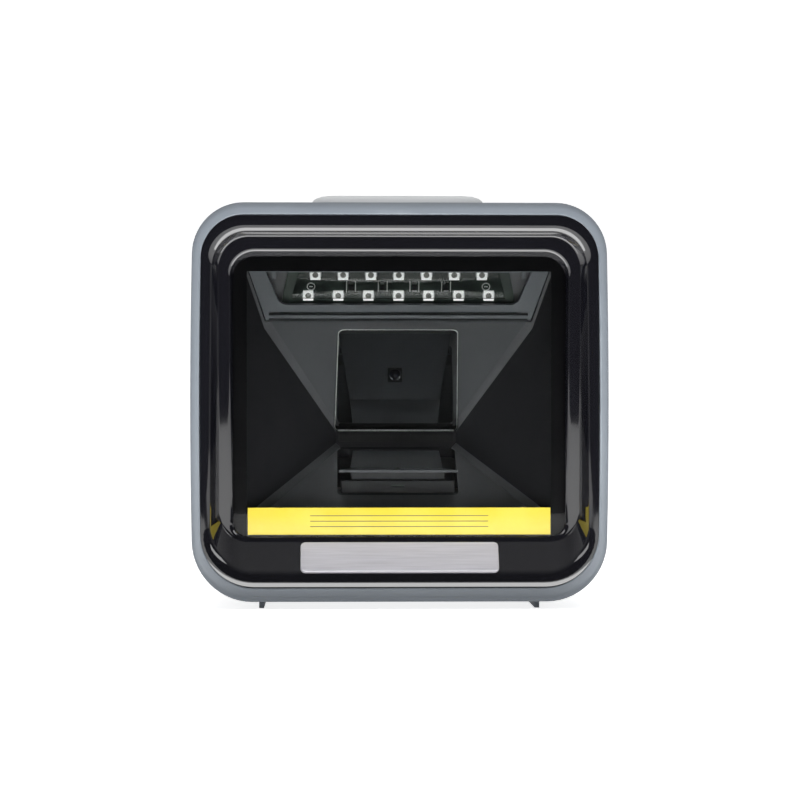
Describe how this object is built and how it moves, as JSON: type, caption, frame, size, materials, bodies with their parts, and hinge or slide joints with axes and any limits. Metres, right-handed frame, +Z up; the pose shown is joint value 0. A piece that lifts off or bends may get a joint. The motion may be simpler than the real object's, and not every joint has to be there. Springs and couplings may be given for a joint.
{
  "type": "presentation barcode scanner",
  "caption": "Desktop barcode scanner: rounded grey housing on two foot rails, gloss black stepped bezel, window, light board, folded mirror and camera, with a press key on top.",
  "frame": {"origin": "centre of the bounding box's footprint, on the surface the foot rails stand on", "axes": "+X to the right seen from the front, -Y out of the window towards the user, +Z up"},
  "size_m": [0.14, 0.082, 0.1403],
  "materials": {
    "housing_grey": "fine satin moulded plastic",
    "bezel_black": "polished piano black",
    "window_glass": "clear flat pane",
    "gasket_rubber": "soft foam",
    "strip_yellow": "printed plastic film",
    "plate_silver": "satin brushed",
    "hood_black": "matt, lightly textured",
    "frame_grey": "satin dark grey",
    "cover_clear": "clear plastic",
    "board_green": "dark solder mask",
    "led_white": "white package, yellowish gel",
    "chip_black": "moulded epoxy",
    "mirror_silver": "front-silvered glass",
    "lens_glass": "coated lens",
    "ribbon_orange": "polyimide film",
    "connector_cream": "nylon",
    "shield_tin": "tinned sheet",
    "key_light_grey": "satin light grey",
    "spring_steel": "drawn wire",
    "screw_steel": "zinc plated",
    "insert_brass": "turned brass",
    "pipe_clear": "frosted light pipe",
    "label_grey": "blank film label",
    "rail_grey": "satin moulded plastic"
  },
  "bodies": {
    "case": {"rear_housing": "housing_grey", "front_bezel": "bezel_black", "scan_window": "window_glass", "window_gasket": "gasket_rubber", "yellow_strip": "strip_yellow", "name_plate": "plate_silver", "light_hood": "hood_black", "led_frame": "frame_grey", "led_cover": "cover_clear", "led_board": "board_green", "fold_mirror": "mirror_silver", "mirror_bracket": "hood_black", "camera_tray": "hood_black", "camera_board": "board_green", "camera_holder": "chip_black", "camera_lens": "lens_glass", "camera_ribbon": "ribbon_orange", "main_board": "board_green", "shield_can": "shield_tin", "decoder_chip": "chip_black", "board_connector": "connector_cream", "data_jack": "chip_black", "beeper": "chip_black", "key_bracket": "hood_black", "key_switch": "chip_black", "light_pipe": "pipe_clear", "rating_label": "label_grey", "key_spring_left": "spring_steel", "foot_rail_left": "rail_grey", "mount_insert_left": "insert_brass", "case_screw_left": "screw_steel", "board_screw_left": "screw_steel", "key_spring_right": "spring_steel", "foot_rail_right": "rail_grey", "mount_insert_right": "insert_brass", "case_screw_right": "screw_steel", "board_screw_right": "screw_steel", "led_upper_1": "led_white", "led_lower_1": "led_white", "led_upper_2": "led_white", "led_lower_2": "led_white", "led_upper_3": "led_white", "led_lower_3": "led_white", "led_upper_4": "led_white", "led_lower_4": "led_white", "led_upper_5": "led_white", "led_lower_5": "led_white", "led_upper_6": "led_white", "led_lower_6": "led_white", "led_upper_7": "led_white", "led_lower_7": "led_white", "led_resistor_1": "chip_black", "led_resistor_2": "chip_black", "led_resistor_3": "chip_black", "led_resistor_4": "chip_black"},
    "key": {"top_key": "key_light_grey"}
  },
  "joints": [
    {"name": "key_press", "type": "slide", "parent": "case", "child": "key", "axis": [0, 0, -1], "range_m": [0, 0.0012], "stiffness_N_per_m": 800, "springref_m": -0.0006, "deforming": ["key_spring_left", "key_spring_right"]}
  ]
}
